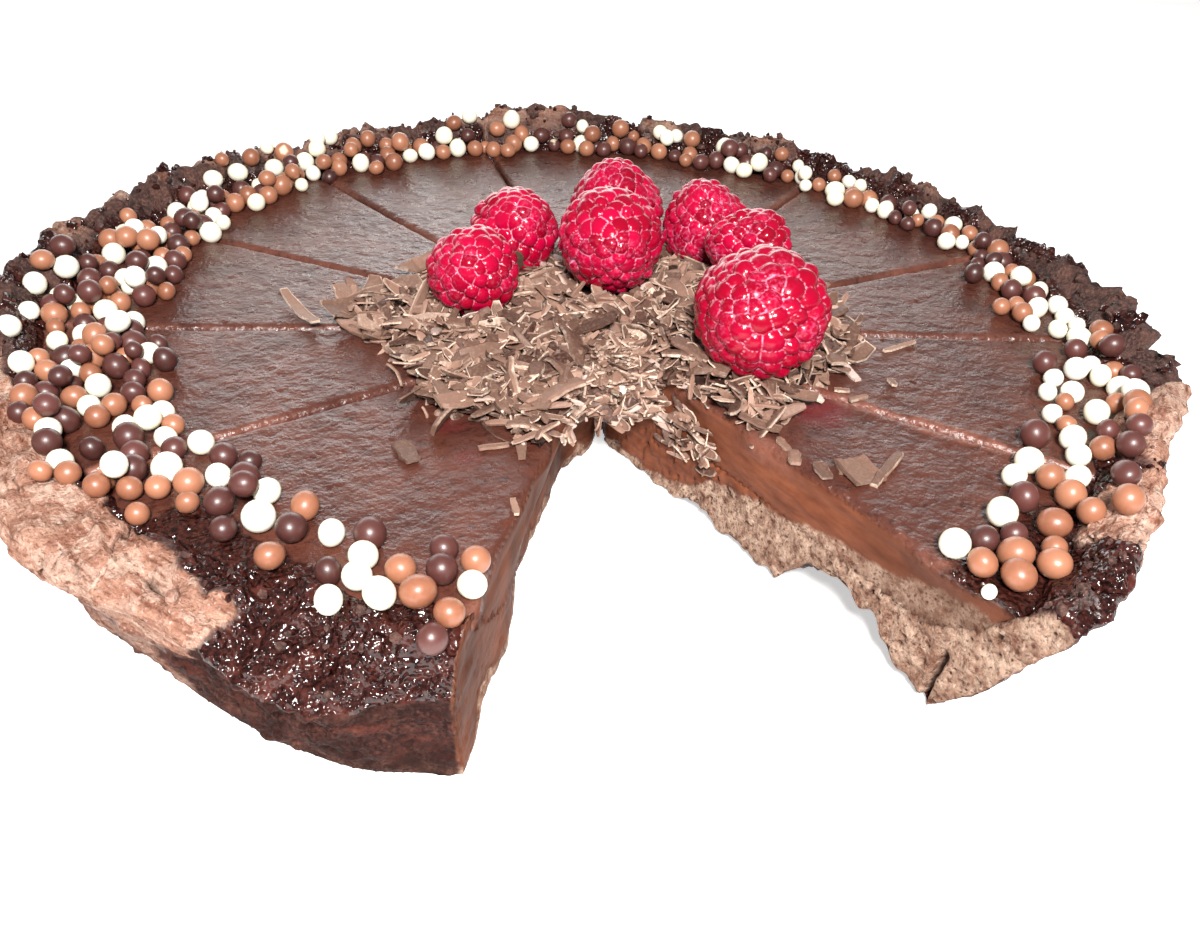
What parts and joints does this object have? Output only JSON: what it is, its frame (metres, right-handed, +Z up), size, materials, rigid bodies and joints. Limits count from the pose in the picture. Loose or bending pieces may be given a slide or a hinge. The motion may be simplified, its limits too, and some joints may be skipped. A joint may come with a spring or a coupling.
{
  "type": "chocolate tart",
  "caption": "Round chocolate tart with a cocoa crust and ganache filling, cut into slices with one taken out, topped with chocolate shavings, raspberries and sugar pearls.",
  "frame": {"origin": "the tart's axis, on the flat underside that it rests on", "axes": "+Z up out of the filling, -Y out through the gap of the missing slice, +X along the widest line across the tart"},
  "size_m": [0.2442, 0.233, 0.0566],
  "materials": {
    "crust": "dry crumbly baked cocoa pastry",
    "ganache": "satin dark chocolate ganache",
    "raspberry": "wet red drupelets with a pale frost in the crevices",
    "shavings": "matt dark chocolate flakes",
    "pearl_white": "polished ivory coating",
    "pearl_milk": "polished milk chocolate coating",
    "pearl_dark": "polished dark chocolate coating"
  },
  "bodies": {
    "root": {"crust_slice_01": "crust", "crust_slice_02": "crust", "crust_slice_03": "crust", "crust_slice_04": "crust", "crust_slice_05": "crust", "crust_slice_06": "crust", "crust_slice_07": "crust", "crust_slice_08": "crust", "crust_slice_09": "crust", "crust_slice_10": "crust", "ganache_slice_01": "ganache", "ganache_slice_02": "ganache", "ganache_slice_03": "ganache", "ganache_slice_04": "ganache", "ganache_slice_05": "ganache", "ganache_slice_06": "ganache", "ganache_slice_07": "ganache", "ganache_slice_08": "ganache", "ganache_slice_09": "ganache", "ganache_slice_10": "ganache", "raspberry_1": "raspberry", "raspberry_2": "raspberry", "raspberry_3": "raspberry", "raspberry_4": "raspberry", "raspberry_5": "raspberry", "raspberry_6": "raspberry", "raspberry_7": "raspberry", "shavings": "shavings"}
  },
  "joints": []
}
